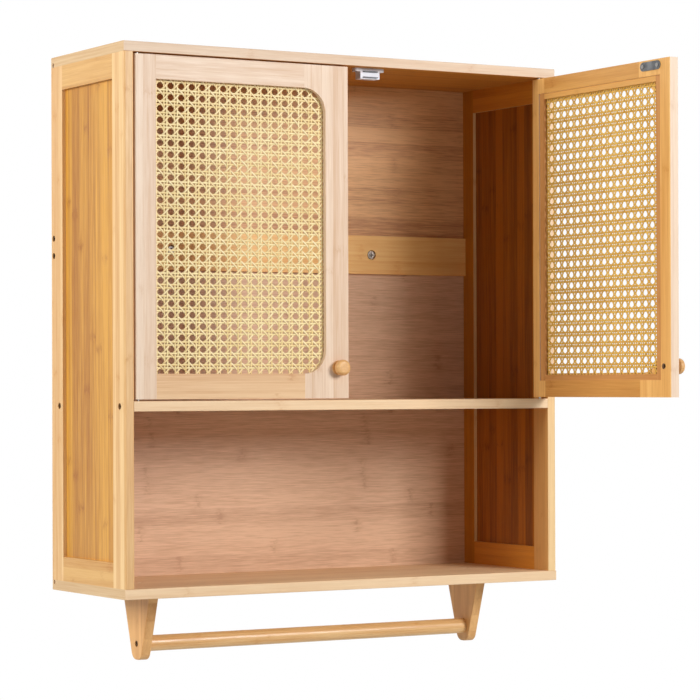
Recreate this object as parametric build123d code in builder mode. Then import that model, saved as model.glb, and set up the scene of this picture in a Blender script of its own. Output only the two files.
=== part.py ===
from build123d import *
from dataclasses import dataclass
import os

# Bathroom wall cabinet in bamboo: two cane-panelled pivot doors over an open bay, towel bar below.
# Millimetres. X runs to the right as the cabinet is faced, Y into the wall and Z up.
# The origin lies on the wall plane, midway between the two wall screws.
# The left door is drawn closed and the right door stands open, as the cabinet is at rest.

# Carcass
cabinet_w = 600.0
cabinet_d = 200.0
carcass_h = 642.0
board_t = 12.0
side_t = 12.0
open_bay_h = 204.0
wall_screw_h = 413.0  # from the carcass's underside up to the wall screws
arris_r = 1.0
corner_r = 2.5

# Side frames and their panels
side_stile_w = 31.0
side_rail_h = 29.0
side_panel_t = 3.0
side_groove_d = 6.0

# Back panels and hanging rail
back_panel_t = 3.0
back_panel_inset = 4.0
back_groove_d = 5.0
hanging_rail_h = 49.0
hanging_rail_t = 12.0
wall_screw_spacing = 288.0
wall_counterbore_r = 6.25
wall_counterbore_d = 4.0
panel_play = 0.1
panel_edge_play = 0.3

# Towel bar brackets and bar
leg_inset = 63.5  # from a side's outer face to the bracket's
leg_t = 12.0
leg_h = 80.0
leg_top_w = 73.0
leg_foot_w = 22.0
leg_foot_r = 11.5
leg_from_front = 101.0
bar_r = 9.5
bar_drop = 61.0
bar_socket_d = 5.0
bar_play = 0.05

# Doors
door_t = 12.0
door_side_gap = 2.0
door_centre_gap = 3.0
door_end_gap = 2.0
hinge_stile_w = 27.0
free_stile_w = 31.5
opening_corner_r = 29.0
door_top_rail_h = 28.0
door_bottom_rail_h = 29.5
lip_t = 6.0
rebate_in_stile = 12.0
rebate_in_rail = 9.0
hinge_arris_r = 2.0
tenon_t = 4.0
tenon_l = 8.0
tenon_shoulder = 3.0
tenon_play = 0.1
right_door_opening = 90.0

# Cane sheet and the beads that hold it
cane_t = 1.5
cane_columns = 14
cane_rows = 21
cane_hole_r = 4.3
bead_t = 3.0
bead_inset = 2.0  # from the opening's edge back to the beads
cane_edge_play = 0.3

# Door pivots
pin_r = 1.5
pin_from_edge = 6.0
pin_in_door = 14.0
pin_in_board = 7.0
pin_play = 0.06
pin_end_play = 0.2

# Knobs
knob_from_edge = 14.0
knob_from_bottom = 36.5
knob_l = 14.0
knob_base_r = 9.0
knob_base_t = 1.5
knob_neck_r = 5.0
knob_head_r = 9.5
knob_rim_t = 3.0
knob_rim_r = 4.0
knob_pilot_d = 9.5
knob_counterbore_r = 3.5
knob_counterbore_d = 5.0

# Magnetic catches and their strike plates
catch_w = 27.0
catch_h = 13.0
catch_d = 12.0
catch_front_t = 2.0
ear_span = 41.0
ear_t = 4.0
ear_d = 10.0
ear_r = 2.5
ear_screw_spacing = 34.0
pole_w = 19.5
pole_t = 1.2
pole_drop = 7.5
pole_stand_out = 2.7
magnet_h = 5.8
magnet_d = 8.5
catch_play = 0.1
catch_gap = 0.3
strike_w = 39.0
strike_h = 10.5
strike_t = 1.0
strike_from_edge = 37.5
strike_drop = 7.2
strike_screw_spacing = 28.0


@dataclass(frozen=True)
class Screw:
    """A screw: its cheese head, its shank and its length under the head."""

    head_r: float
    head_h: float
    shank_r: float
    length: float


# Screws
wall_screw = Screw(head_r=5.0, head_h=3.0, shank_r=2.25, length=35.0)
joint_screw = Screw(head_r=3.75, head_h=2.5, shank_r=2.0, length=36.0)
knob_screw = Screw(head_r=3.2, head_h=2.2, shank_r=1.75, length=15.0)
catch_screw = Screw(head_r=2.7, head_h=1.4, shank_r=1.4, length=11.0)
strike_screw = Screw(head_r=2.2, head_h=0.8, shank_r=1.1, length=8.0)
wall_screw_neck_r = 1.7
screw_tip_l = 3.0
screw_play = 0.05
screw_tip_room = 0.5
joint_screw_sink = 1.5
bar_screw_sink = 1.0
shelf_screw_from_front = 13.5
shelf_screw_from_back = 21.0
rail_screw_spacing = 21.0

# Dowels between the bottom board and each bracket
dowel_r = 3.0
dowel_in_board = 8.0
dowel_in_leg = 14.0
dowel_spacing = 44.0
dowel_play = 0.05
dowel_end_room = 0.3

# Planes of the carcass
underside = -wall_screw_h
floor_top = underside + board_t
shelf_low = floor_top + open_bay_h
shelf_top = shelf_low + board_t
carcass_top = underside + carcass_h
roof = carcass_top - board_t
front = -cabinet_d
side_out = cabinet_w / 2
side_in = side_out - side_t
side_mid = side_out - side_t / 2
panel_rear = -back_panel_inset
panel_front = panel_rear - back_panel_t
rail_half = hanging_rail_h / 2
leg_y = front + leg_from_front
leg_outer = side_out - leg_inset
leg_inner = leg_outer - leg_t
leg_mid = leg_outer - leg_t / 2
bar_z = underside - bar_drop

# Planes of the closed left door, whose hinge edge is its left edge
door_left = -side_in + door_side_gap
door_right = -door_centre_gap / 2
door_low = shelf_top + door_end_gap
door_high = roof - door_end_gap
door_back = front + door_t
opening_left = door_left + hinge_stile_w
opening_right = door_right - free_stile_w
opening_low = door_low + door_bottom_rail_h
opening_high = door_high - door_top_rail_h
rail_end = opening_right - opening_corner_r
lip_back = front + lip_t
cane_back = lip_back + cane_t
bead_back = cane_back + bead_t
rebate_xs = (opening_left - rebate_in_stile, opening_right + rebate_in_stile)
rebate_zs = (opening_low - rebate_in_rail, opening_high + rebate_in_rail)
rebate_ys = (lip_back, door_back)
bead_xs = (opening_left - bead_inset, opening_right + bead_inset)
bead_zs = (opening_low - bead_inset, opening_high + bead_inset)
pin_x = door_left + pin_from_edge
pin_y = front + door_t / 2
knob_x = door_right - knob_from_edge
knob_z = door_low + knob_from_bottom
strike_x = door_right - strike_from_edge
strike_z = door_high - strike_drop

# Planes of the left magnetic catch, which meets the left door's strike plate
strike_face = door_back + strike_t
pole_front = strike_face + catch_gap
catch_front = pole_front + pole_stand_out
catch_back = catch_front + catch_d
pocket_front = catch_front + catch_front_t
pole_z = roof - pole_drop
ear_screw_y = catch_front + ear_d / 2

# Directions
LEFT, RIGHT = (-1, 0, 0), (1, 0, 0)
FORWARD, BACKWARD = (0, -1, 0), (0, 1, 0)
UP, DOWN = (0, 0, 1), (0, 0, -1)
SIDES = {"left": -1, "right": 1}

os.makedirs("parts", exist_ok=True)


def finish(piece, label):
    """Name one finished piece and write it to its own file."""
    piece.part.label = label
    export_step(piece.part, f"parts/{label}.step")


def block(xs, ys, zs, mode=Mode.ADD):
    """Add or cut a block between three pairs of planes in the part that is being made."""
    pairs = (xs, ys, zs)
    with Locations(Vector(*[sum(pair) / 2 for pair in pairs])):
        Box(*[abs(pair[1] - pair[0]) for pair in pairs], mode=mode)


def upright_plane(y):
    """The plane at depth y that reads X to the right and Z up; extruding runs to the front."""
    return Plane.XZ.offset(-y)


def spots(places, out):
    """Planes at several points of a surface, all facing out of it."""
    return [Plane(place, z_dir=out) for place in places]


def mirrored(places):
    """The places given for one side of the cabinet, and their images on the other side."""
    return places + [(-x, y, z) for x, y, z in places]


def sunk_bores(places, out, screw, depth, sink=joint_screw_sink):
    """Holes for screws whose heads sit in the surface: a flat-bottomed head bore and a shank bore."""
    with Locations(*spots(places, out)):
        CounterBoreHole(screw.shank_r + screw_play, screw.head_r + screw_play, screw.head_h + sink, depth)


def pilot_depth(screw, sink, passed):
    """How deep a screw's hole runs in the second piece, after the thickness that it has passed."""
    return sink + screw.head_h + screw.length - passed + screw_tip_room


def pilot_bores(places, out, radius, depth):
    """Plain holes of one radius and depth, entered at points of a surface."""
    with Locations(*spots(places, out)):
        Hole(radius, depth)


def screws(places, out, screw, sink=joint_screw_sink, neck_r=0.0, neck_l=0.0):
    """One screw at each place, its head sunk below the surface, with a crossed driver recess."""
    seat = -screw.head_h
    end = seat - screw.length
    with BuildPart() as one:
        with BuildSketch(Plane.XZ):
            with BuildLine():
                Polyline(
                    (0, 0),
                    (screw.head_r, 0),
                    (screw.head_r, seat),
                    (screw.shank_r, seat),
                    (screw.shank_r, end + screw_tip_l),
                    (0, end),
                    close=True,
                )
            make_face()
        revolve(axis=Axis.Z)
        if neck_l:
            with BuildSketch(Plane.XY.offset(seat)):
                Circle(screw.shank_r)
                Circle(neck_r, mode=Mode.SUBTRACT)
            extrude(amount=-neck_l, mode=Mode.SUBTRACT)
        with BuildSketch():
            Rectangle(1.2 * screw.head_r, 0.25 * screw.head_r)
            Rectangle(0.25 * screw.head_r, 1.2 * screw.head_r)
        extrude(amount=-0.5 * screw.head_h, mode=Mode.SUBTRACT)
    with BuildPart() as group:
        with Locations(*[spot.offset(-sink) for spot in spots(places, out)]):
            add(one.part)
    return group


# Where screws, dowels and pins enter, on both sides of the cabinet
stile_entry_ys = (front + side_stile_w / 2, -side_stile_w / 2)
top_entries = mirrored([(side_mid, y, carcass_top) for y in stile_entry_ys])
under_entries = [(x, y, underside) for x, y, _ in top_entries]
shelf_z = (shelf_low + shelf_top) / 2
shelf_entry_ys = (front + shelf_screw_from_front, -shelf_screw_from_back)
rail_y = -hanging_rail_t / 2
rail_entry_zs = (-rail_screw_spacing / 2, rail_screw_spacing / 2)
wall_entries = mirrored([(wall_screw_spacing / 2, -hanging_rail_t, 0)])
leg_entries = mirrored([(leg_mid, leg_y, floor_top)])
dowel_ys = (leg_y - dowel_spacing / 2, leg_y + dowel_spacing / 2)
dowel_entries = mirrored([(leg_mid, y, underside) for y in dowel_ys])
catch_entries = mirrored([(strike_x + n * ear_screw_spacing / 2, ear_screw_y, roof) for n in (-1, 1)])
strike_entries = [(strike_x + n * strike_screw_spacing / 2, door_back, strike_z) for n in (-1, 1)]
pivot_axes = mirrored([(pin_x, pin_y, 0)])
joint_bore_r = joint_screw.shank_r + screw_play
joint_pilot_d = pilot_depth(joint_screw, joint_screw_sink, side_t)
stile_pilot_d = pilot_depth(joint_screw, joint_screw_sink, board_t)
knob_bore_r = knob_screw.shank_r + screw_play
strike_bore_r = strike_screw.shank_r + screw_play
catch_bore_r = catch_screw.shank_r + screw_play


def pivot_bores(z, out):
    """The blind holes in a board that the door pins turn in."""
    places = [(x, y, z) for x, y, _ in pivot_axes]
    pilot_bores(places, out, pin_r + pin_play, pin_in_board + pin_end_play)


def groove(xs, ys, zs):
    """A groove cut for a panel's edge."""
    block(xs, ys, zs, Mode.SUBTRACT)


back_groove_ys = (panel_front - panel_play, panel_rear + panel_play)


def make_boards():
    """Top board, bottom board and fixed middle shelf."""
    with BuildPart() as top_board:
        block((-side_out, side_out), (front, 0), (roof, carcass_top))
        fillet(top_board.edges().filter_by(Axis.X), arris_r)
        groove((-side_out, side_out), back_groove_ys, (roof, roof + back_groove_d))
        sunk_bores(top_entries, UP, joint_screw, board_t)
        pilot_bores(catch_entries, DOWN, catch_bore_r, pilot_depth(catch_screw, 0, ear_t))
        pivot_bores(roof, DOWN)
    finish(top_board, "top_board")

    with BuildPart() as bottom_board:
        block((-side_out, side_out), (front, 0), (underside, floor_top))
        fillet(bottom_board.edges().filter_by(Axis.X), arris_r)
        groove((-side_out, side_out), back_groove_ys, (floor_top - back_groove_d, floor_top))
        sunk_bores(under_entries, DOWN, joint_screw, board_t)
        sunk_bores(leg_entries, UP, joint_screw, board_t)
        pilot_bores(dowel_entries, DOWN, dowel_r + dowel_play, dowel_in_board + dowel_end_room)
    finish(bottom_board, "bottom_board")

    with BuildPart() as middle_shelf:
        block((-side_in, side_in), (front, panel_front - panel_play), (shelf_low, shelf_top))
        fillet(middle_shelf.edges().filter_by(Axis.X).group_by(Axis.Y)[0], arris_r)
        for side in SIDES.values():
            ends = [(side * side_in, y, shelf_z) for y in shelf_entry_ys]
            pilot_bores(ends, (side, 0, 0), joint_bore_r, joint_pilot_d)
        pivot_bores(shelf_top, UP)
    finish(middle_shelf, "middle_shelf")


def make_side(name, side):
    """One side of the carcass: two stiles, two rails and the panel that they hold."""
    xs = (side * side_out, side * side_in)
    groove_half = side_panel_t / 2 + panel_play
    groove_xs = (side * side_mid - groove_half, side * side_mid + groove_half)
    tongue_xs = (side * side_mid - side_panel_t / 2, side * side_mid + side_panel_t / 2)
    front_joint = front + side_stile_w
    rear_joint = -side_stile_w
    low_joint = floor_top + side_rail_h
    high_joint = roof - side_rail_h
    reach = side_groove_d - panel_edge_play
    outward = (side, 0, 0)
    stile_ends = ((roof, UP), (floor_top, DOWN))

    with BuildPart() as front_stile:
        block(xs, (front, front_joint), (floor_top, roof))
        front_edges = front_stile.edges().filter_by(Axis.Z).group_by(Axis.Y)[0].sort_by(Axis.X)
        fillet(front_edges[0 if side < 0 else -1], corner_r)
        front_edges = front_stile.edges().filter_by(Axis.Z).group_by(Axis.Y)[0].sort_by(Axis.X)
        fillet(front_edges[-1 if side < 0 else 0], arris_r)
        groove(groove_xs, (front_joint - side_groove_d, front_joint), (floor_top, roof))
        sunk_bores([(side * side_out, shelf_entry_ys[0], shelf_z)], outward, joint_screw, side_t)
        for z, out in stile_ends:
            pilot_bores([(side * side_mid, stile_entry_ys[0], z)], out, joint_bore_r, stile_pilot_d)
    finish(front_stile, f"{name}_side_front_stile")

    with BuildPart() as rear_stile:
        block(xs, (rear_joint, 0), (floor_top, roof))
        groove(groove_xs, (rear_joint, rear_joint + side_groove_d), (floor_top, roof))
        groove((side * side_in, side * (side_in + back_groove_d)), back_groove_ys, (floor_top, roof))
        sunk_bores([(side * side_out, shelf_entry_ys[1], shelf_z)], outward, joint_screw, side_t)
        sunk_bores([(side * side_out, rail_y, z) for z in rail_entry_zs], outward, joint_screw, side_t)
        for z, out in stile_ends:
            pilot_bores([(side * side_mid, stile_entry_ys[1], z)], out, joint_bore_r, stile_pilot_d)
    finish(rear_stile, f"{name}_side_rear_stile")

    tongue_ys = (front_joint - reach, rear_joint + reach)
    with BuildPart() as top_rail:
        block(xs, (front_joint, rear_joint), (high_joint, roof))
        block(tongue_xs, tongue_ys, (high_joint, roof))
        groove(groove_xs, tongue_ys, (high_joint, high_joint + side_groove_d))
    finish(top_rail, f"{name}_side_top_rail")

    with BuildPart() as bottom_rail:
        block(xs, (front_joint, rear_joint), (floor_top, low_joint))
        block(tongue_xs, tongue_ys, (floor_top, low_joint))
        groove(groove_xs, tongue_ys, (low_joint - side_groove_d, low_joint))
    finish(bottom_rail, f"{name}_side_bottom_rail")

    with BuildPart() as side_panel:
        block(tongue_xs, tongue_ys, (low_joint - reach, high_joint + reach))
    finish(side_panel, f"{name}_side_panel")


def make_back():
    """Hanging rail, with its wall screw holes, and the two back panels."""
    reach = back_groove_d - panel_edge_play
    panel_xs = (-side_in - reach, side_in + reach)
    with BuildPart() as hanging_rail:
        block((-side_in, side_in), (-hanging_rail_t, 0), (-rail_half, rail_half))
        groove((-side_in, side_in), back_groove_ys, (rail_half - back_groove_d, rail_half))
        groove((-side_in, side_in), back_groove_ys, (-rail_half, back_groove_d - rail_half))
        wall_bore_r = wall_screw.shank_r + screw_play
        with Locations(*spots(wall_entries, FORWARD)):
            CounterBoreHole(wall_bore_r, wall_counterbore_r, wall_counterbore_d, hanging_rail_t)
        for side in SIDES.values():
            ends = [(side * side_in, rail_y, z) for z in rail_entry_zs]
            pilot_bores(ends, (side, 0, 0), joint_bore_r, joint_pilot_d)
    finish(hanging_rail, "hanging_rail")

    with BuildPart() as back_panel_upper:
        block(panel_xs, (panel_front, panel_rear), (rail_half - reach, roof + reach))
    finish(back_panel_upper, "back_panel_upper")

    with BuildPart() as back_panel_lower:
        block(panel_xs, (panel_front, panel_rear), (floor_top - reach, reach - rail_half))
    finish(back_panel_lower, "back_panel_lower")


def make_leg(name, side):
    """One tapered bracket with a rounded foot, a blind socket for the bar and a bored top edge."""
    half_top = leg_top_w / 2
    half_foot = leg_foot_w / 2
    with BuildPart() as leg:
        with BuildSketch(Plane.YZ.offset(side * leg_mid - leg_t / 2)):
            with BuildLine():
                Polyline(
                    (leg_y - half_top, underside),
                    (leg_y + half_top, underside),
                    (leg_y + half_foot, underside - leg_h),
                    (leg_y - half_foot, underside - leg_h),
                    close=True,
                )
            make_face()
        extrude(amount=leg_t)
        foot_corners = leg.edges().filter_by(Axis.X).group_by(Axis.Z)[0]
        fillet(foot_corners, leg_foot_r)
        outline = leg.edges().filter_by(Axis.X, reverse=True)
        fillet([edge for edge in outline if edge.bounding_box().min.Z < underside - 0.1], arris_r)
        inner = (side * leg_inner, leg_y, bar_z)
        pilot_bores([inner], (-side, 0, 0), bar_r + bar_play, bar_socket_d)
        sunk_bores([(side * leg_outer, leg_y, bar_z)], (side, 0, 0), joint_screw, leg_t, bar_screw_sink)
        pilot_bores([(side * leg_mid, leg_y, underside)], UP, joint_bore_r, stile_pilot_d)
        pegs = [(side * leg_mid, y, underside) for y in dowel_ys]
        pilot_bores(pegs, UP, dowel_r + dowel_play, dowel_in_leg + dowel_end_room)
    finish(leg, f"{name}_leg")


def make_towel_bar():
    """The round bar between the brackets, bored in each end for its screw."""
    with BuildPart() as towel_bar:
        with BuildSketch(Plane.YZ.offset(-leg_inner - bar_socket_d)):
            with Locations((leg_y, bar_z)):
                Circle(bar_r)
        extrude(amount=2 * (leg_inner + bar_socket_d))
        passed = leg_t - bar_socket_d
        for side in SIDES.values():
            end = (side * (leg_inner + bar_socket_d), leg_y, bar_z)
            bar_pilot_d = pilot_depth(joint_screw, bar_screw_sink, passed)
            pilot_bores([end], (side, 0, 0), joint_bore_r, bar_pilot_d)
    finish(towel_bar, "towel_bar")


def make_catch(name, side):
    """A magnetic catch under the top board: a slotted housing, two pole plates and their magnet."""
    middle = side * abs(strike_x)
    body_xs = (middle - catch_w / 2, middle + catch_w / 2)
    inside_xs = (middle - pole_w / 2, middle + pole_w / 2)
    pocket_xs = (inside_xs[0] - catch_play, inside_xs[1] + catch_play)
    magnet_back = pocket_front + magnet_d
    pole_half = magnet_h / 2 + pole_t
    pocket_zs = (pole_z - pole_half - catch_play, pole_z + pole_half + catch_play)

    with BuildPart() as catch_housing:
        block(body_xs, (catch_front, catch_back), (roof - catch_h, roof))
        fillet(catch_housing.edges().filter_by(Axis.Y).group_by(Axis.Z)[0], arris_r)
        ear_xs = (middle - ear_span / 2, middle + ear_span / 2)
        block(ear_xs, (catch_front, catch_front + ear_d), (roof - ear_t, roof))
        ear_edges = catch_housing.edges().filter_by(Axis.Z)
        fillet(ear_edges.group_by(Axis.X)[0] + ear_edges.group_by(Axis.X)[-1], ear_r)
        block(pocket_xs, (pocket_front, catch_back), pocket_zs, Mode.SUBTRACT)
        for step in (-1, 1):
            slot_z = pole_z + step * (magnet_h + pole_t) / 2
            slot_half = pole_t / 2 + catch_play
            slot_zs = (slot_z - slot_half, slot_z + slot_half)
            block(pocket_xs, (catch_front, pocket_front), slot_zs, Mode.SUBTRACT)
        ears = [(x, y, roof - ear_t) for x, y, _ in catch_entries if x * side > 0]
        sunk_bores(ears, DOWN, catch_screw, ear_t, 0)
    finish(catch_housing, f"{name}_catch_housing")

    with BuildPart() as magnet:
        block(inside_xs, (pocket_front, magnet_back), (pole_z - magnet_h / 2, pole_z + magnet_h / 2))
    finish(magnet, f"{name}_catch_magnet")

    for step, level in ((1, "upper"), (-1, "lower")):
        pole_zs = (pole_z + step * magnet_h / 2, pole_z + step * pole_half)
        with BuildPart() as pole:
            block(inside_xs, (pole_front, magnet_back), pole_zs)
        finish(pole, f"{name}_catch_{level}_pole")


def finish_door_piece(piece, name, label):
    """Name and write one door piece: as drawn for the left door, its image in rest for the right."""
    with BuildPart() as placed:
        add(piece.part)
        if name == "right":
            mirror(placed.part, about=Plane.YZ, mode=Mode.REPLACE)
            hinge = Axis((-pin_x, pin_y, 0), UP)
            add(placed.part.rotate(hinge, right_door_opening), mode=Mode.REPLACE)
    finish(placed, f"{name}_door_{label}")


def cut_rebate():
    """Cut the rectangular rebate behind the opening that takes the cane sheet and its beads."""
    block(rebate_xs, rebate_ys, rebate_zs, Mode.SUBTRACT)


def rail_tenon(low, high):
    """The heights of the tenon on a rail, between shoulders on its full thickness."""
    return (low + tenon_shoulder, high - tenon_shoulder)


rail_levels = {
    "bottom": (door_low, opening_low, rail_tenon(door_low, rebate_zs[0])),
    "top": (opening_high, door_high, rail_tenon(rebate_zs[1], door_high)),
}
tenon_ys = (pin_y - tenon_t / 2, pin_y + tenon_t / 2)


def cut_mortises(joint_x, into):
    """Cut the mortises for both rails' tenons into a stile, from the joint line at joint_x."""
    mortise_ys = (tenon_ys[0] - tenon_play, tenon_ys[1] + tenon_play)
    for _, _, zs in rail_levels.values():
        xs = (joint_x, joint_x + into * (tenon_l + tenon_play))
        block(xs, mortise_ys, (zs[0] - tenon_play, zs[1] + tenon_play), Mode.SUBTRACT)


def make_door_frame(name):
    """The two stiles and two rails of one door."""
    with BuildPart() as hinge_stile:
        block((door_left, opening_left), (front, door_back), (door_low, door_high))
        fillet(hinge_stile.edges().filter_by(Axis.Z).group_by(Axis.X)[0], hinge_arris_r)
        cut_rebate()
        cut_mortises(opening_left, -1)
        for z, out in ((door_low, DOWN), (door_high, UP)):
            pilot_bores([(pin_x, pin_y, z)], out, pin_r + pin_play, pin_in_door)
    finish_door_piece(hinge_stile, name, "hinge_stile")

    arc_low = opening_low + opening_corner_r
    arc_high = opening_high - opening_corner_r
    with BuildPart() as free_stile:
        with BuildSketch(upright_plane(door_back)):
            with BuildLine():
                Polyline(
                    (rail_end, opening_low),
                    (rail_end, door_low),
                    (door_right, door_low),
                    (door_right, door_high),
                    (rail_end, door_high),
                    (rail_end, opening_high),
                )
                RadiusArc((rail_end, opening_high), (opening_right, arc_high), opening_corner_r)
                Line((opening_right, arc_high), (opening_right, arc_low))
                RadiusArc((opening_right, arc_low), (rail_end, opening_low), opening_corner_r)
            make_face()
        extrude(amount=door_t)
        fillet(free_stile.edges().filter_by(Axis.Z).group_by(Axis.X)[-1], arris_r)
        cut_rebate()
        cut_mortises(rail_end, 1)
        with Locations(Plane((knob_x, door_back, knob_z), z_dir=BACKWARD)):
            CounterBoreHole(knob_bore_r, knob_counterbore_r, knob_counterbore_d, door_t)
        strike_pilot_d = pilot_depth(strike_screw, -strike_screw.head_h, strike_t)
        pilot_bores(strike_entries, BACKWARD, strike_bore_r, strike_pilot_d)
    finish_door_piece(free_stile, name, "free_stile")

    for level, (low, high, tenon_zs) in rail_levels.items():
        with BuildPart() as rail:
            block((opening_left, rail_end), (front, door_back), (low, high))
            cut_rebate()
            block((opening_left - tenon_l, rail_end + tenon_l), tenon_ys, tenon_zs)
        finish_door_piece(rail, name, f"{level}_rail")


def make_door_cane(name):
    """The cane sheet, one face with a hole at each gap of its weave, and the four beads behind it."""
    wide = opening_right - opening_left
    high = opening_high - opening_low
    sheet_w = wide + 2 * (rebate_in_stile - cane_edge_play)
    sheet_h = high + 2 * (rebate_in_rail - cane_edge_play)
    with BuildPart() as cane_panel:
        with BuildSketch(upright_plane(cane_back)):
            with Locations(((opening_left + opening_right) / 2, (opening_low + opening_high) / 2)):
                Rectangle(sheet_w, sheet_h)
                with GridLocations(wide / cane_columns, high / cane_rows, cane_columns, cane_rows):
                    Circle(cane_hole_r, mode=Mode.SUBTRACT)
        extrude(amount=cane_t)
    finish_door_piece(cane_panel, name, "cane_panel")

    bead_ys = (cane_back, bead_back)
    beads = {
        "hinge_bead": ((rebate_xs[0], bead_xs[0]), rebate_zs),
        "free_bead": ((bead_xs[1], rebate_xs[1]), rebate_zs),
        "bottom_bead": (bead_xs, (rebate_zs[0], bead_zs[0])),
        "top_bead": (bead_xs, (bead_zs[1], rebate_zs[1])),
    }
    for label, (xs, zs) in beads.items():
        with BuildPart() as bead:
            block(xs, bead_ys, zs)
        finish_door_piece(bead, name, label)


def make_door_fittings(name):
    """Knob and its screw, strike plate and its screws, and the two pivot pins."""
    with BuildPart() as knob:
        with BuildSketch(Plane.YZ.offset(knob_x)):
            with BuildLine():
                rim_back = knob_l - knob_rim_t - knob_rim_r
                Polyline(
                    (front, knob_z),
                    (front, knob_z + knob_base_r),
                    (front - knob_base_t, knob_z + knob_base_r),
                    (front - knob_base_t, knob_z + knob_neck_r),
                    (front - rim_back / 2, knob_z + knob_neck_r),
                    (front - rim_back, knob_z + knob_head_r),
                    (front - knob_l, knob_z + knob_head_r),
                    (front - knob_l, knob_z),
                    close=True,
                )
            make_face()
        revolve(axis=Axis((knob_x, front, knob_z), BACKWARD))
        fillet(knob.edges().group_by(Axis.Y)[0], knob_rim_r)
        pilot_bores([(knob_x, front, knob_z)], BACKWARD, knob_bore_r, knob_pilot_d)
    finish_door_piece(knob, name, "knob")

    sink = knob_counterbore_d - knob_screw.head_h
    knob_fastener = screws([(knob_x, door_back, knob_z)], BACKWARD, knob_screw, sink)
    finish_door_piece(knob_fastener, name, "knob_screw")

    with BuildPart() as strike_plate:
        with BuildSketch(upright_plane(strike_face)):
            with Locations((strike_x, strike_z)):
                SlotOverall(strike_w, strike_h)
                with GridLocations(strike_screw_spacing, 0, 2, 1):
                    Circle(strike_bore_r, mode=Mode.SUBTRACT)
        extrude(amount=strike_t)
    finish_door_piece(strike_plate, name, "strike_plate")

    heads = [(x, strike_face, z) for x, _, z in strike_entries]
    finish_door_piece(screws(heads, BACKWARD, strike_screw, -strike_screw.head_h), name, "strike_screws")

    with BuildPart() as pins:
        for end, inward in ((door_low, 1), (door_high, -1)):
            inside = end + inward * pin_in_door
            outside = end - inward * (door_end_gap + pin_in_board)
            with BuildSketch(Plane.XY.offset(min(inside, outside))):
                with Locations((pin_x, pin_y)):
                    Circle(pin_r)
            extrude(amount=abs(inside - outside))
    finish_door_piece(pins, name, "pivot_pins")


def make_fasteners():
    """Wall screws, the screws of the carcass and of the brackets, the dowels and the catch screws."""
    sink = wall_counterbore_d - wall_screw.head_h
    neck_l = hanging_rail_t - wall_counterbore_d
    finish(screws(wall_entries, FORWARD, wall_screw, sink, wall_screw_neck_r, neck_l), "wall_screws")

    with BuildPart() as carcass_screws:
        add(screws(top_entries, UP, joint_screw).part)
        add(screws(under_entries, DOWN, joint_screw).part)
        for side in SIDES.values():
            entries = [(side * side_out, y, shelf_z) for y in shelf_entry_ys]
            entries += [(side * side_out, rail_y, z) for z in rail_entry_zs]
            add(screws(entries, (side, 0, 0), joint_screw).part)
    finish(carcass_screws, "carcass_screws")

    with BuildPart() as bracket_screws:
        add(screws(leg_entries, UP, joint_screw).part)
        for side in SIDES.values():
            add(screws([(side * leg_outer, leg_y, bar_z)], (side, 0, 0), joint_screw, bar_screw_sink).part)
    finish(bracket_screws, "bracket_screws")

    with BuildPart() as dowels:
        with BuildSketch(Plane.XY.offset(underside - dowel_in_leg)):
            with Locations(*[(x, y) for x, y, _ in dowel_entries]):
                Circle(dowel_r)
        extrude(amount=dowel_in_leg + dowel_in_board)
    finish(dowels, "bracket_dowels")

    ears = [(x, y, roof - ear_t) for x, y, _ in catch_entries]
    finish(screws(ears, DOWN, catch_screw, 0), "catch_screws")


make_boards()
make_back()
make_towel_bar()
make_fasteners()
for name, side in SIDES.items():
    make_side(name, side)
    make_leg(name, side)
    make_catch(name, side)
    make_door_frame(name)
    make_door_cane(name)
    make_door_fittings(name)
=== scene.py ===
import math
from dataclasses import dataclass

import bpy
import numpy as np
from mathutils import Matrix, Vector


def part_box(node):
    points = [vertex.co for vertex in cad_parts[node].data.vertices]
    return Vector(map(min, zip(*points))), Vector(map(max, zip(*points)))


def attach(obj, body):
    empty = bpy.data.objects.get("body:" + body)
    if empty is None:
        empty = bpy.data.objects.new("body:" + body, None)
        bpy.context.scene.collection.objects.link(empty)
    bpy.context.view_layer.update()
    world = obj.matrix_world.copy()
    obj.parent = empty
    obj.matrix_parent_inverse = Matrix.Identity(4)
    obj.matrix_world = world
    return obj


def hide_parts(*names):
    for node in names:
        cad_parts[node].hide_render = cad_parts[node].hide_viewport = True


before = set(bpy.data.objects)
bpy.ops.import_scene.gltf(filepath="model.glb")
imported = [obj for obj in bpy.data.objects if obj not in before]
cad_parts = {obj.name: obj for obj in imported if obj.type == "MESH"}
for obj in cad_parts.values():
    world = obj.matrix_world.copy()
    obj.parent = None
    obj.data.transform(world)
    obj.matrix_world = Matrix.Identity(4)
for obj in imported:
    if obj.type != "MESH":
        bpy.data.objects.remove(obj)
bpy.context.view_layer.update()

# Bathroom wall cabinet: bamboo, metal and plastic materials, woven cane sheets, light and camera
# over the fixed model. Lengths are in metres. X runs to the right as the cabinet is faced, Y into
# the wall and Z up. The left door rests closed and the right door open, so its width runs along Y.

X, Y, Z = 0, 1, 2
FACING = (0.6, 0.8)  # cosines between which a surface comes to count as facing a way
NOISE, CLOUD = (0.3, 0.7), (0.35, 0.65)  # the ranges that fine and cloudy noise mostly keep to


# Node trees


def srgb(red, green, blue):
    """A linear colour from the familiar 0 to 255 values."""
    values = [channel / 255 for channel in (red, green, blue)]
    linear = [v / 12.92 if v <= 0.04045 else ((v + 0.055) / 1.055) ** 2.4 for v in values]
    return (*linear, 1.0)


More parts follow.
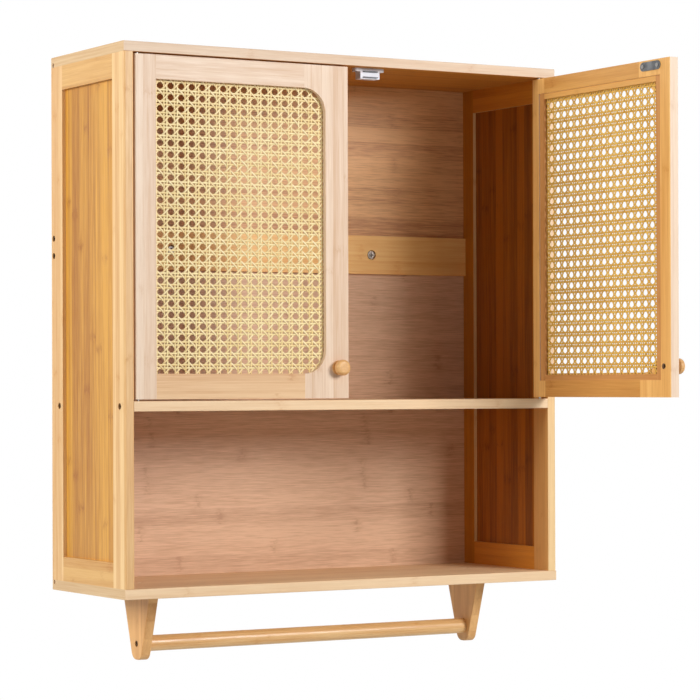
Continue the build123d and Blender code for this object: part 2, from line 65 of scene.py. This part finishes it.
class Tree:
    """The node tree of a material or a world, with short calls for the nodes used most."""

    def __init__(self, owner):
        owner.use_nodes = True
        self.nodes = owner.node_tree.nodes
        self.links = owner.node_tree.links

    def put(self, value, socket):
        """Link a node's output to a socket, or write a plain value there."""
        if hasattr(value, "is_output"):
            self.links.new(value, socket)
        else:
            socket.default_value = value

    def add(self, kind, *values, **settings):
        """Add a node with its settings, and put values into its first sockets."""
        node = self.nodes.new(kind)
        for name, setting in settings.items():
            setattr(node, name, setting)
        for value, socket in zip(values, node.inputs):
            self.put(value, socket)
        return node

    def math(self, operation, *values, clamp=False):
        return self.add("ShaderNodeMath", *values, operation=operation, use_clamp=clamp).outputs[0]

    def swing(self, value, weight, rest, clamp=False):
        """A number from 0 to 1, moved to swing about zero, weighted and added to the rest."""
        centred = self.math("SUBTRACT", value, 0.5)
        return self.math("MULTIPLY_ADD", centred, weight, rest, clamp=clamp)

    def split(self, vector):
        """A vector's three numbers."""
        return list(self.add("ShaderNodeSeparateXYZ", vector).outputs)

    def join(self, x, y, z):
        """A vector from three numbers."""
        return self.add("ShaderNodeCombineXYZ", x, y, z).outputs[0]

    def place(self):
        """The place on the object, in metres, as three separate numbers."""
        return self.split(self.add("ShaderNodeTexCoord").outputs["Object"])

    def noise(self, vector, scale, detail, rough):
        node = self.add("ShaderNodeTexNoise", vector)
        node.inputs["Scale"].default_value = scale
        node.inputs["Detail"].default_value = detail
        node.inputs["Roughness"].default_value = rough
        return node.outputs["Fac"]

    def random(self, value, seed):
        """A number from 0 to 1 that is the same wherever the value is the same."""
        place = self.join(value, seed, 0.0)
        return self.add("ShaderNodeTexWhiteNoise", place, noise_dimensions="2D").outputs["Value"]

    def spread(self, value, low, high, to_low=0.0, to_high=1.0):
        """A number moved from one range to another and held inside it."""
        return self.add("ShaderNodeMapRange", value, low, high, to_low, to_high).outputs[0]

    def mix(self, share, first, second):
        """Two colours mixed."""
        node = self.add("ShaderNodeMix", share, data_type="RGBA")
        self.put(first, node.inputs[6])
        self.put(second, node.inputs[7])
        return node.outputs[2]

    def bump(self, height, distance, strength):
        node = self.add("ShaderNodeBump")
        node.inputs["Strength"].default_value = strength
        node.inputs["Distance"].default_value = distance
        self.put(height, node.inputs["Height"])
        return node.outputs[0]

    def facing(self, axis, sign=0):
        """1 where the surface looks along an axis of the object, either way when the sign is 0."""
        normal = self.split(self.add("ShaderNodeTexCoord").outputs["Normal"])
        along = self.math("MULTIPLY", normal[axis], sign or 1)
        return self.spread(along if sign else self.math("ABSOLUTE", along), *FACING)


class Surface(Tree):
    """The node tree of one new material."""

    def __init__(self, name):
        self.material = bpy.data.materials.new(name)
        super().__init__(self.material)
        self.shader = self.nodes["Principled BSDF"]

    def finish(self, color, roughness, normal=None, **sockets):
        self.put(color, self.shader.inputs["Base Color"])
        self.put(roughness, self.shader.inputs["Roughness"])
        if normal is not None:
            self.put(normal, self.shader.inputs["Normal"])
        for name, value in sockets.items():
            self.shader.inputs[name.replace("_", " ")].default_value = value
        return self.material


def paint(material, *nodes):
    """Put one material on every slot of these nodes."""
    for node in nodes:
        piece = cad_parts[node]
        if not piece.material_slots:
            piece.data.materials.append(material)
        for slot in piece.material_slots:
            slot.material = material


# Bamboo's colours, each a lighter and a darker tone of the same strips. Some are painted shade, as
# said below.

HONEY = (srgb(240, 203, 146), srgb(206, 148, 84))
WHEAT = (srgb(224, 178, 110), srgb(192, 132, 64))
AMBER = (srgb(220, 162, 68), srgb(166, 104, 34))
PALE = (srgb(234, 208, 180), srgb(208, 168, 130))
STRAW = (srgb(241, 208, 165), srgb(214, 168, 118))
SAND = (srgb(228, 188, 140), srgb(202, 150, 98))
CHESTNUT = (srgb(235, 183, 125), srgb(190, 134, 86))
BROWN = (srgb(227, 185, 148), srgb(189, 145, 110))
CORN = (srgb(252, 206, 128), srgb(232, 162, 80))
RUSSET = (srgb(222, 162, 96), srgb(180, 118, 60))
TAN = (srgb(238, 184, 106), srgb(206, 146, 74))
TOFFEE = (srgb(232, 182, 118), srgb(192, 132, 72))
# Painted shade: the seven tones below are deeper, warmer tones for faces that look into the
# cabinet, under the top board or to a door's rear, where less light falls.
UMBER_SHADE = (srgb(180, 103, 10), srgb(122, 61, 4))
OCHRE_SHADE = (srgb(198, 128, 22), srgb(168, 96, 10))
GOLD_SHADE = (srgb(226, 170, 100), srgb(198, 138, 74))
COPPER_SHADE = (srgb(222, 146, 46), srgb(190, 111, 28))
TAWNY_SHADE = (srgb(206, 138, 48), srgb(174, 104, 30))
BUFF_SHADE = (srgb(252, 200, 122), srgb(220, 158, 82))
CARAMEL_SHADE = (srgb(224, 168, 92), srgb(192, 128, 58))
END_GRAIN = (srgb(222, 192, 150), srgb(198, 156, 108))


@dataclass(frozen=True)
class Look:
    """One kind of bamboo: its tones, the width of its strips, and how much it varies."""

    tones: tuple
    strip: float
    contrast: float
    knots: float
    # Painted shade: the tones that a face looking into the cabinet or to a door's rear takes in
    # place of the lit ones
    inside: tuple = CARAMEL_SHADE
    grain: float = 0.95
    streak: float = 0.09
    fibre: float = 0.0022
    rough: float = 0.42


SHORT_FIBRES = {"streak": 0.028, "fibre": 0.0013}
# A look's inside tones are painted shade on the faces that look inward, down from the top board or
# to a door's rear.
LOOKS = {
    "top": Look(PALE, strip=0.0068, contrast=0.9, knots=0.8, inside=TAWNY_SHADE, rough=0.62),
    "board": Look(STRAW, strip=0.0068, contrast=0.9, knots=0.8, rough=0.55),
    "front_frame": Look(HONEY, strip=0.0105, contrast=0.9, knots=0.7, inside=GOLD_SHADE),
    "rear_frame": Look(HONEY, strip=0.0105, contrast=0.9, knots=0.7, inside=OCHRE_SHADE),
    "rung": Look(WHEAT, strip=0.0105, contrast=0.9, knots=0.7, inside=COPPER_SHADE),
    "panel": Look(AMBER, strip=0.0165, contrast=1.3, knots=1.0, inside=UMBER_SHADE),
    "back": Look(CHESTNUT, strip=0.0192, contrast=1.2, knots=0.8, grain=2.1, **SHORT_FIBRES),
    "low_back": Look(BROWN, strip=0.0192, contrast=0.6, knots=1.1, grain=3.4, **SHORT_FIBRES),
    "rail": Look(CORN, strip=0.0205, contrast=1.1, knots=1.0),
    "door": Look(PALE, strip=0.0150, contrast=1.1, knots=0.8, inside=BUFF_SHADE),
    "door_rail": Look(PALE, strip=0.0150, contrast=1.1, knots=0.8),
    "sill": Look(SAND, strip=0.0150, contrast=1.1, knots=1.2),
    "bead": Look(RUSSET, strip=0.0200, contrast=0.8, knots=0.5),
    "cross_bead": Look(TAN, strip=0.0200, contrast=0.8, knots=0.5),
    "bracket": Look(TOFFEE, strip=0.0068, contrast=0.8, knots=0.5),
    "turned": Look(TOFFEE, strip=0.0064, contrast=0.8, knots=0.4, rough=0.3),
    "bar": Look(HONEY, strip=0.0064, contrast=1.1, knots=0.6, rough=0.26),
}


# Bamboo

SHIFT_SEED, TONE_SEED, DOWEL_SEED = 31.0, 5.0, 77.0
STRIP_SHIFT = 0.0137  # by which the strips of one piece lie off those of the next
STREAK_SHIFT = 7.0  # how far the streaks of two strips may lie apart, in lengths of a streak
KNUCKLE_EVERY = 0.31
KNUCKLE_SHIFT = 5.0  # the same for knuckles, in their spacings
KNUCKLE_REACH, KNUCKLE_WANDER = 0.04, 0.05  # in spacings too
GLUE_LINE = 0.0004
END_LINE_LENGTH, END_LINE_WIDTH, END_DEPTH = 0.09, 0.0022, 0.25
MIDDLE_TONE = 0.35  # the share of the dark tone where nothing varies
TONE_WEIGHT, BROAD_WEIGHT, FINE_WEIGHT, KNUCKLE_WEIGHT = 0.55, 1.1, 0.6, 0.55
END_WEIGHT, GLUE_WEIGHT = 1.8, 0.25
GRAIN_RELIEF = 0.00012


@dataclass(frozen=True)
class Streaks:
    """Streaks of one size, with the detail of their noise and a place in it of their own."""

    length: float
    width: float
    detail: float
    offset: float


BROAD = Streaks(0.25, 0.009, 2.0, 3.0)
FINE = Streaks(0.03, 0.0007, 2.0, 23.0)
BLOTCHES = Streaks(0.006, 0.003, 2.0, 41.0)


class Strips:
    """Strips glued side by side: where a point lies on them, and what varies by strip."""

    def __init__(self, tree, width, along, across, seed):
        place = tree.place()
        self.tree, self.width, self.seed = tree, width, seed
        self.along, self.across = place[along], place[across]
        self.through = place[X + Y + Z - along - across]
        self.count = tree.math("DIVIDE", tree.math("ADD", self.across, seed * STRIP_SHIFT), width)
        number = tree.math("FLOOR", self.count)
        self.tone = tree.random(number, seed)
        self.shift = tree.random(number, seed + SHIFT_SEED)

    def streaks(self, kind):
        """Noise drawn out along the strips, different on each."""
        tree = self.tree
        run = tree.math("DIVIDE", self.along, kind.length)
        vector = tree.join(
            tree.math("MULTIPLY_ADD", self.shift, STREAK_SHIFT, run),
            tree.math("DIVIDE", self.across, kind.width),
            tree.math("DIVIDE", self.through, kind.width),
        )
        offset = (kind.offset, self.seed, kind.offset)
        moved = tree.add("ShaderNodeVectorMath", vector, offset, operation="ADD")
        return tree.noise(moved.outputs[0], 1.0, kind.detail, 0.6)

    def knuckles(self, fibres):
        """Soft mottled stains across a strip, at a different place on each."""
        tree = self.tree
        run = tree.math("DIVIDE", self.along, KNUCKLE_EVERY)
        run = tree.math("ADD", run, tree.math("MULTIPLY", self.shift, KNUCKLE_SHIFT))
        run = tree.swing(fibres, KNUCKLE_WANDER, run)
        away = tree.math("ABSOLUTE", tree.math("SUBTRACT", tree.math("FRACT", run), 0.5))
        stain = tree.spread(away, 0.0, KNUCKLE_REACH, 1.0, 0.0)
        mottle = tree.spread(self.streaks(BLOTCHES), 0.42, 0.62, 0.2, 1.0)
        return tree.math("MULTIPLY", tree.math("MULTIPLY", stain, stain), mottle)

    def glue_lines(self):
        """1 on the line between two strips."""
        tree = self.tree
        edge = tree.math("ABSOLUTE", tree.math("SUBTRACT", tree.math("FRACT", self.count), 0.5))
        return tree.spread(edge, 0.5 - GLUE_LINE / self.width, 0.5)

    def end_lines(self):
        """Noise in long lines across the strips, for the faces at their ends."""
        tree = self.tree
        vector = tree.join(
            tree.math("DIVIDE", self.along, END_DEPTH),
            tree.math("DIVIDE", self.across, END_LINE_LENGTH),
            tree.math("DIVIDE", self.through, END_LINE_WIDTH),
        )
        return tree.noise(vector, 1.0, 3.0, 0.6)


def bamboo(name, look, along, across, seed, inner=None, ends=None):
    """Bamboo strips: fine fibres along them, knuckles, and a tone for each.

    The face that looks along inner, an axis and a sign, has the look's inside tones, which are
    painted
    shade: deeper, warmer tones where less light falls. The faces that look along the axis ends have
    the tones of end grain, and long lines in place of the strips.
    """
    tree = Surface(name)
    base, dark = look.tones
    strips = Strips(tree, look.strip, along, across, seed)
    broad, fine = strips.streaks(BROAD), strips.streaks(FINE)
    fibres = strips.streaks(Streaks(look.streak, look.fibre, 3.0, 11.0))
    seam = strips.glue_lines()

    share = 0.0
    weights = (TONE_WEIGHT, BROAD_WEIGHT, look.grain, FINE_WEIGHT)
    for source, weight in zip((strips.tone, broad, fibres, fine), weights):
        share = tree.swing(source, weight * look.contrast, share)
    share = tree.math("MULTIPLY_ADD", strips.knuckles(fibres), KNUCKLE_WEIGHT * look.knots, share)
    share = tree.math("ADD", share, MIDDLE_TONE, clamp=True)
    if ends is not None:
        at_end = tree.facing(ends)
        base = tree.mix(at_end, base, END_GRAIN[0])
        dark = tree.mix(at_end, dark, END_GRAIN[1])
        end_weight = END_WEIGHT * look.contrast
        end_share = tree.swing(strips.end_lines(), end_weight, MIDDLE_TONE, clamp=True)
        share = tree.spread(at_end, 0.0, 1.0, share, end_share)
        seam = tree.math("MULTIPLY", seam, tree.math("SUBTRACT", 1.0, at_end))
    # Painted shade: the face that looks along inner takes the look's inside tones.
    if inner is not None:
        inside = tree.facing(*inner)
        base = tree.mix(inside, base, look.inside[0])
        dark = tree.mix(inside, dark, look.inside[1])
    color = tree.mix(share, base, dark)
    color = tree.mix(tree.math("MULTIPLY", seam, GLUE_WEIGHT * look.contrast), color, dark)

    height = tree.math("MULTIPLY_ADD", fibres, 0.6, fine)
    height = tree.math("SUBTRACT", height, tree.math("MULTIPLY", seam, 0.8))
    normal = tree.bump(height, GRAIN_RELIEF, 0.55)
    roughness = tree.spread(fine, *NOISE, look.rough - 0.07, look.rough + 0.09)
    return tree.finish(color, roughness, normal, Specular_IOR_Level=0.4)


def grain(look, along, across, *nodes, inner=None, ends=None):
    """Give each node its own piece of bamboo of one look."""
    for node in nodes:
        seed = float(1 + sorted(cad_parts).index(node))
        paint(bamboo(f"{node}_bamboo", LOOKS[look], along, across, seed, inner, ends), node)


# The top board's underside takes painted shade.
grain("top", X, Y, "top_board", inner=(Z, -1), ends=X)
grain("board", X, Y, "bottom_board", "middle_shelf", ends=X)
grain("rail", X, Z, "hanging_rail")
grain("back", X, Z, "back_panel_upper")
grain("low_back", X, Z, "back_panel_lower")
grain("bar", X, Z, "towel_bar")
for side, inward in (("left", 1), ("right", -1)):
    # Faces that look into the cabinet take painted shade.
    into = (X, inward)
    grain("front_frame", Z, Y, f"{side}_side_front_stile", inner=into)
    grain("rear_frame", Z, Y, f"{side}_side_rear_stile", inner=into)
    grain("rung", Y, Z, f"{side}_side_top_rail", f"{side}_side_bottom_rail", inner=into)
    grain("panel", Z, Y, f"{side}_side_panel", inner=into)
    grain("bracket", Z, Y, f"{side}_leg")
for side, width, depth, rearward in (("left", X, Y, 1), ("right", Y, X, -1)):
    # A door's rear face takes painted shade.
    behind = (depth, rearward)
    grain("door", Z, width, f"{side}_door_hinge_stile", f"{side}_door_free_stile", inner=behind)
    grain("door_rail", width, Z, f"{side}_door_top_rail", inner=behind)
    grain("sill", width, Z, f"{side}_door_bottom_rail", inner=behind)
    grain("bead", Z, width, f"{side}_door_hinge_bead", f"{side}_door_free_bead")
    grain("cross_bead", width, Z, f"{side}_door_top_bead")
    grain("bead", width, Z, f"{side}_door_bottom_bead")
    grain("turned", depth, Z, f"{side}_door_knob")
paint(bamboo("dowel_wood", LOOKS["turned"], Z, Y, DOWEL_SEED), "bracket_dowels")


# Metal and plastic

METAL_MOTTLE, METAL_CLOUD = 900.0, 100.0  # scales of noise, per metre
PLASTIC_PEEL, PLASTIC_CLOUD = 1400.0, 60.0
METAL_RELIEF, PLASTIC_RELIEF = 0.00002, 0.00003
# Painted shade in the driver's recess of a screw's head: its colour, then the depths past the level
# at which it starts and at which it is full.
RECESS_SHADE = srgb(26, 20, 16)
RECESS_SHADE_STARTS, RECESS_SHADE_FULL = 0.0001, 0.0003  # depths past the level


def metal(name, tone, dark, rough, sunk=None):
    """Zinc or steel with a fine mottle, cloudy in tone.

    Past a level along an axis, given by sunk with the way in, it is painted dark as shade: the
    driver's recess in a screw's head, and all of the screw behind it.
    """
    tree = Surface(name)
    spot = tree.place()
    place = tree.join(*spot)
    mottle = tree.noise(place, METAL_MOTTLE, 3.0, 0.6)
    cloud = tree.noise(place, METAL_CLOUD, 2.0, 0.5)
    color = tree.mix(tree.spread(cloud, *CLOUD), tone, dark)
    if sunk is not None:
        axis, inward, level = sunk
        # Painted shade: dark past the level, in the recess.
        depth = tree.math("MULTIPLY", tree.math("SUBTRACT", spot[axis], level), inward)
        color = tree.mix(tree.spread(depth, RECESS_SHADE_STARTS, RECESS_SHADE_FULL), color, RECESS_SHADE)
    roughness = tree.spread(mottle, *NOISE, rough - 0.08, rough + 0.12)
    return tree.finish(color, roughness, tree.bump(mottle, METAL_RELIEF, 0.6), Metallic=1.0)


def plastic(name, tone, dark, rough):
    """Moulded plastic with a faint orange-peel surface."""
    tree = Surface(name)
    place = tree.join(*tree.place())
    peel = tree.noise(place, PLASTIC_PEEL, 2.0, 0.5)
    cloud = tree.noise(place, PLASTIC_CLOUD, 2.0, 0.5)
    color = tree.mix(tree.spread(cloud, *CLOUD), tone, dark)
    roughness = tree.spread(peel, *NOISE, rough - 0.05, rough + 0.08)
    normal = tree.bump(peel, PLASTIC_RELIEF, 0.5)
    return tree.finish(color, roughness, normal, Specular_IOR_Level=0.5)


zinc = metal("zinc_screws", srgb(188, 188, 186), srgb(150, 150, 150), 0.34)
# A dark brown metal for the carcass, bracket and knob screws.
dark_screw_metal = metal("dark_brown_screws", srgb(112, 84, 60), srgb(70, 50, 34), 0.5)
pin_steel = metal("pin_steel", srgb(205, 205, 204), srgb(170, 170, 170), 0.3)
plate = metal("strike_plate_zinc", srgb(122, 126, 130), srgb(92, 96, 100), 0.42)
heads = Vector(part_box("wall_screws")[0])
recessed = (Y, 1, heads.y)
wall_zinc = metal("wall_screw_zinc", srgb(158, 150, 142), srgb(96, 88, 80), 0.3, sunk=recessed)
poles = metal("pole_steel", srgb(96, 96, 98), srgb(66, 66, 68), 0.5)
housing = plastic("catch_plastic", srgb(232, 233, 238), srgb(222, 223, 228), 0.42)
ferrite = plastic("ferrite", srgb(48, 48, 50), srgb(34, 34, 36), 0.6)
paint(wall_zinc, "wall_screws")
paint(zinc, "catch_screws")
paint(dark_screw_metal, "carcass_screws", "bracket_screws")
for side in ("left", "right"):
    paint(dark_screw_metal, f"{side}_door_knob_screw")
    paint(zinc, f"{side}_door_strike_screws")
    paint(pin_steel, f"{side}_door_pivot_pins")
    paint(plate, f"{side}_door_strike_plate")
    paint(poles, f"{side}_catch_upper_pole", f"{side}_catch_lower_pole")
    paint(housing, f"{side}_catch_housing")
    paint(ferrite, f"{side}_catch_magnet")


# Woven cane. On a sheet, u counts the pitches to the right and v those up, both from the first
# hole. Pairs of strands run halfway between the holes, and single ones cross them diagonally.

PITCH_W, PITCH_H = 0.01380, 0.01328
HOLE_COLUMNS, HOLE_ROWS = 16, 26
FIRST_HOLE_W, FIRST_HOLE_H = 0.0355, 0.0313  # from the lower corner of the door's left edge
STRAND_WIDTH, STRAND_THICK = 0.0022, 0.00045
DIAGONAL_WIDTH = 0.0023
PAIR_HALF = 0.00185  # from the middle of a pair to the middle of each strand
# A strand's section, from its inner side to its skin, in half widths and in thicknesses
SECTION = ((-1, -0.35), (-1, 0.15), (-0.55, 0.5), (0.55, 0.5), (1, 0.15), (1, -0.35))
FIRST_DIAGONAL = 4 * (HOLE_COLUMNS + HOLE_ROWS)  # the strands' numbers below it are those of pairs
STEPS = 6  # points to a pitch
SHORTEST = 4  # points that a diagonal needs, to be worth having at a corner
PAIR_SWITCH, DIAGONAL_SWITCH = 4.6, 1.7  # how fast a strand goes from over to under
RUN_SCALE = 16  # by which a point's mark gives its distance along the strand
RUN_GROOVES, WIDTH_GROOVES, NUMBER_GROOVES = 60.0, 3.0, 3.7  # how fast the grooves' noise goes

PAIRED = (srgb(250, 230, 168), srgb(234, 202, 128))
CROSSING = (srgb(248, 228, 174), srgb(236, 206, 140))
# The rear face's tones: partly the stem's own inside, partly painted warm shade.
GOLDEN = (srgb(250, 206, 98), srgb(226, 170, 66))
# Painted shade at a strand's rims.
CANE_RIM_SHADE = srgb(150, 104, 36)
CANE_RELIEF = 0.00008


def cane_material(name, inner):
    """Split cane: a glossy pale skin with fine grooves along it, in a tone that varies by strand.

    Its other side, which looks along inner, is golden: partly the inside of the stem, partly
    painted warm shade. Each strand darkens towards its rims as painted shade, more on that side.
    """
    tree = Surface(name)
    mark = tree.add("ShaderNodeAttribute", attribute_name="strand")
    run, width, number = tree.split(mark.outputs["Vector"])
    tone = tree.random(tree.math("FLOOR", number), TONE_SEED)
    vector = tree.join(
        tree.math("MULTIPLY", run, RUN_GROOVES),
        tree.math("MULTIPLY", width, WIDTH_GROOVES),
        tree.math("MULTIPLY", number, NUMBER_GROOVES),
    )
    fibre = tree.noise(vector, 1.0, 3.0, 0.6)
    share = tree.math("MULTIPLY_ADD", tone, 0.6, tree.math("MULTIPLY", fibre, 0.6))
    share = tree.spread(share, 0.2, 1.0)
    paired, crossing, golden = [tree.mix(share, *tones) for tones in (PAIRED, CROSSING, GOLDEN)]
    color = tree.mix(tree.math("GREATER_THAN", number, FIRST_DIAGONAL), paired, crossing)
    # Partly painted warm shade: the rear face takes the golden tones.
    inside = tree.facing(*inner)
    color = tree.mix(inside, color, golden)
    # Painted shade: darker towards each strand's rims, more on the rear face.
    rim = tree.math("POWER", tree.math("ABSOLUTE", width), 3.0)
    shade = tree.math("MULTIPLY", rim, tree.math("MULTIPLY_ADD", inside, 0.35, 0.4))
    color = tree.mix(shade, color, CANE_RIM_SHADE)
    roughness = tree.spread(fibre, *NOISE, 0.34, 0.5)
    normal = tree.bump(fibre, CANE_RELIEF, 0.6)
    return tree.finish(color, roughness, normal, Specular_IOR_Level=0.5)


def pair_height(value):
    """A paired strand's height where it meets the crossing pairs, in half thicknesses."""
    return np.sin(math.pi * np.clip((value % 1 - 0.5) * PAIR_SWITCH, -1, 1))


def diagonal_height(value):
    """A diagonal's height: over at half numbers, under at whole ones and flat near both."""
    return np.clip(DIAGONAL_SWITCH * np.cos(2 * math.pi * (value - 0.5)), -1, 1)


def strand_lines(low_u, high_u, low_v, high_v):
    """The centre line of each strand of a sheet, as u, v and height, with its width and number."""
    lines = []
    half_thick = 0.5 * STRAND_THICK
    for i in range(-1, HOLE_COLUMNS):
        for n in (-1, 1):
            v = np.arange(low_v, high_v + 1e-9, 1 / STEPS)
            u = np.full_like(v, i + 0.5 + n * PAIR_HALF / PITCH_W)
            lines.append((u, v, n * half_thick * pair_height(v), STRAND_WIDTH, len(lines)))
    for j in range(-1, HOLE_ROWS):
        for n in (-1, 1):
            u = np.arange(low_u, high_u + 1e-9, 1 / STEPS)
            v = np.full_like(u, j + 0.5 + n * PAIR_HALF / PITCH_H)
            lines.append((u, v, -n * half_thick * pair_height(u), STRAND_WIDTH, len(lines)))
    for slope in (1, -1):
        for k in range(-HOLE_ROWS - HOLE_COLUMNS, HOLE_ROWS + HOLE_COLUMNS):
            # The line v = slope * u + k + 1/2, held inside the sheet
            u = np.arange(low_u, high_u + 1e-9, 1 / (2 * STEPS))
            v = slope * u + k + 0.5
            inside = (v >= low_v) & (v <= high_v)
            if inside.sum() < SHORTEST:
                continue
            u, v = u[inside], v[inside]
            height = slope * STRAND_THICK * diagonal_height(u)
            lines.append((u, v, height, DIAGONAL_WIDTH, FIRST_DIAGONAL + len(lines)))
    return lines


def loft(line):
    """A strand's points, along, up and out from its sheet, with their marks, and its faces."""
    u, v, over, wide, number = line
    points, marks, faces = [], [], []
    along_w, along_h = (u[-1] - u[0]) * PITCH_W, (v[-1] - v[0]) * PITCH_H
    length = math.hypot(along_w, along_h)
    side_w, side_h = -along_h / length, along_w / length
    for i in range(len(u)):
        run = math.hypot((u[i] - u[0]) * PITCH_W, (v[i] - v[0]) * PITCH_H)
        for across, height in SECTION:
            offset = across * wide / 2
            points.append((
                FIRST_HOLE_W + u[i] * PITCH_W + offset * side_w,
                FIRST_HOLE_H + v[i] * PITCH_H + offset * side_h,
                over[i] + height * STRAND_THICK,
            ))
            marks.append((run * RUN_SCALE, across, number + 0.5))
    count = len(SECTION)
    last = (len(u) - 1) * count
    for start in range(0, last, count):
        for k in range(count):
            a, b = start + k, start + (k + 1) % count
            faces.append((a, b, b + count, a + count))
    faces.append(tuple(reversed(range(count))))
    faces.append(tuple(last + k for k in range(count)))
    return points, marks, faces


def weave_panel(name, node, body, origin, right, back):
    """The woven sheet of one door, with real strands, in place of the holed sheet.

    The origin is the lower corner of the door's left edge. Right and back are the ways that the
    door's width and its rear face look.
    """
    low, high = [Vector(corner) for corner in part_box(node)]
    up = Vector((0, 0, 1))
    edge = origin.dot(right)
    near, far = sorted((low.dot(right), high.dot(right)))
    low_u, high_u = [(place - edge - FIRST_HOLE_W) / PITCH_W for place in (near, far)]
    low_v, high_v = [(place - origin.z - FIRST_HOLE_H) / PITCH_H for place in (low.z, high.z)]
    middle = ((low + high) / 2).dot(back)
    points, marks, faces = [], [], []
    for line in strand_lines(low_u, high_u, low_v, high_v):
        base = len(points)
        strand_points, strand_marks, strand_faces = loft(line)
        for w, h, out in strand_points:
            points.append(tuple(right * (edge + w) + up * (origin.z + h) + back * (middle - out)))
        marks += strand_marks
        faces += [tuple(base + corner for corner in face) for face in strand_faces]
    mesh = bpy.data.meshes.new(name)
    mesh.from_pydata(points, [], faces)
    mesh.validate()
    strand_mark = mesh.attributes.new("strand", "FLOAT_VECTOR", "POINT")
    strand_mark.data.foreach_set("vector", np.array(marks, dtype=np.float32).ravel())
    for polygon in mesh.polygons:
        polygon.use_smooth = True
    panel = bpy.data.objects.new(name, mesh)
    bpy.context.collection.objects.link(panel)
    axis = max(range(3), key=lambda i: abs(back[i]))
    panel.data.materials.append(cane_material(f"{name}_strands", (axis, back[axis])))
    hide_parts(node)
    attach(panel, body)


left_low = Vector(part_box("left_door_hinge_stile")[0])
right_low, right_high = [Vector(corner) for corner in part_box("right_door_hinge_stile")]
weave_panel(
    "left_cane", "left_door_cane_panel", "left_door",
    left_low, right=Vector((1, 0, 0)), back=Vector((0, 1, 0)),
)
weave_panel(
    "right_cane", "right_door_cane_panel", "right_door",
    Vector((0, right_high.y, right_low.z)), right=Vector((0, -1, 0)), back=Vector((-1, 0, 0)),
)


# Floor, light and camera

FLOOR_REACH, FLOOR_Z = 6, -2.4
FLOOR_TONES = (srgb(246, 246, 246), srgb(240, 240, 240))
FLOOR_CLOUD = 9.0
FLOOR_GLOW = 0.7  # the share of its own colour that the camera sees in place of the lit one
SOFT_SKY, SOFT_STRENGTH = (0.97, 0.98, 1.0, 1), 0.21
CAMERA_PLACE = (-1.6770, -3.0362, -0.1678)
YAW, PITCH, ROLL = math.radians(30.594), math.radians(0.247), -0.0033
LENS_MM, SENSOR_MM, SHIFT_UP = 141.06, 36.0, 0.0338
FARTHEST = 100.0


def area(name, place, target, wide, high, power, color):
    """A soft rectangular lamp facing a point."""
    lamp = bpy.data.lights.new(name, "AREA")
    lamp.shape = "RECTANGLE"
    lamp.size, lamp.size_y = wide, high
    lamp.energy = power
    lamp.color = color
    holder = bpy.data.objects.new(name, lamp)
    holder.location = place
    holder.rotation_euler = (Vector(target) - Vector(place)).to_track_quat("-Z", "Y").to_euler()
    bpy.context.collection.objects.link(holder)


def floor_material():
    """Pale and faintly cloudy, lifted for the camera by a glow in its own colour."""
    tree = Surface("pale_floor")
    cloud = tree.noise(tree.join(*tree.place()), FLOOR_CLOUD, 3.0, 0.5)
    color = tree.mix(tree.spread(cloud, *NOISE), *FLOOR_TONES)
    glow = tree.add("ShaderNodeEmission", color)
    camera_ray = tree.add("ShaderNodeLightPath").outputs["Is Camera Ray"]
    share = tree.math("MULTIPLY", camera_ray, FLOOR_GLOW)
    both = tree.add("ShaderNodeMixShader", share, tree.shader.outputs[0], glow.outputs[0])
    tree.put(both.outputs[0], tree.nodes["Material Output"].inputs["Surface"])
    return tree.finish(color, 0.9)


def white_world(world):
    """White to the camera, in reflections and through clear parts, and a soft light otherwise."""
    tree = Tree(world)
    ray = tree.add("ShaderNodeLightPath")
    seen = tree.math("MAXIMUM", ray.outputs["Is Camera Ray"], ray.outputs["Is Glossy Ray"])
    seen = tree.math("MAXIMUM", seen, ray.outputs["Is Transmission Ray"])
    white = tree.nodes["Background"]
    white.inputs["Color"].default_value = (1, 1, 1, 1)
    white.inputs["Strength"].default_value = 1.0
    soft = tree.add("ShaderNodeBackground", SOFT_SKY, SOFT_STRENGTH)
    choose = tree.add("ShaderNodeMixShader", seen, soft.outputs[0], white.outputs[0])
    tree.put(choose.outputs[0], tree.nodes["World Output"].inputs["Surface"])


def camera_turn():
    """The camera's axes as columns, from its yaw, pitch and roll."""
    up = Vector((0, 0, 1))
    ahead = Vector((math.sin(YAW), math.cos(YAW), 0))
    aside = Vector((math.cos(YAW), -math.sin(YAW), 0))
    look = ahead * math.cos(PITCH) + up * math.sin(PITCH)
    over = up * math.cos(PITCH) - ahead * math.sin(PITCH)
    right = aside * math.cos(ROLL) + over * math.sin(ROLL)
    top = over * math.cos(ROLL) - aside * math.sin(ROLL)
    return Matrix((right, top, -look)).transposed()


area(
    "key", (1.4, -3.5, 1.0), (0.0, -0.1, -0.1),
    wide=1.4, high=1.3, power=109, color=(0.98, 0.99, 1.03),
)
area(
    "side_light", (-3.2, -0.15, 0.9), (-0.3, -0.15, -0.1),
    wide=1.5, high=1.5, power=87, color=(1.0, 0.98, 0.95),
)
area(
    "rear_light", (0.2, 3.4, 1.0), (0.0, 0.0, -0.1),
    wide=1.6, high=1.6, power=62, color=(1.0, 0.99, 0.97),
)

turns = ((-1, -1), (1, -1), (1, 1), (-1, 1))
corners = [(x * FLOOR_REACH, y * FLOOR_REACH, FLOOR_Z) for x, y in turns]
floor_mesh = bpy.data.meshes.new("floor")
floor_mesh.from_pydata(corners, [], [(0, 1, 2, 3)])
floor = bpy.data.objects.new("floor", floor_mesh)
bpy.context.collection.objects.link(floor)
floor.data.materials.append(floor_material())

world = bpy.data.worlds.new("studio")
bpy.context.scene.world = world
white_world(world)

lens = bpy.data.cameras.new("camera")
lens.sensor_width = SENSOR_MM
lens.lens = LENS_MM
lens.shift_y = SHIFT_UP
lens.clip_end = FARTHEST
camera = bpy.data.objects.new("camera", lens)
camera.matrix_world = Matrix.Translation(CAMERA_PLACE) @ camera_turn().to_4x4()
bpy.context.collection.objects.link(camera)
bpy.context.scene.camera = camera
bpy.context.scene.view_settings.view_transform = "Standard"
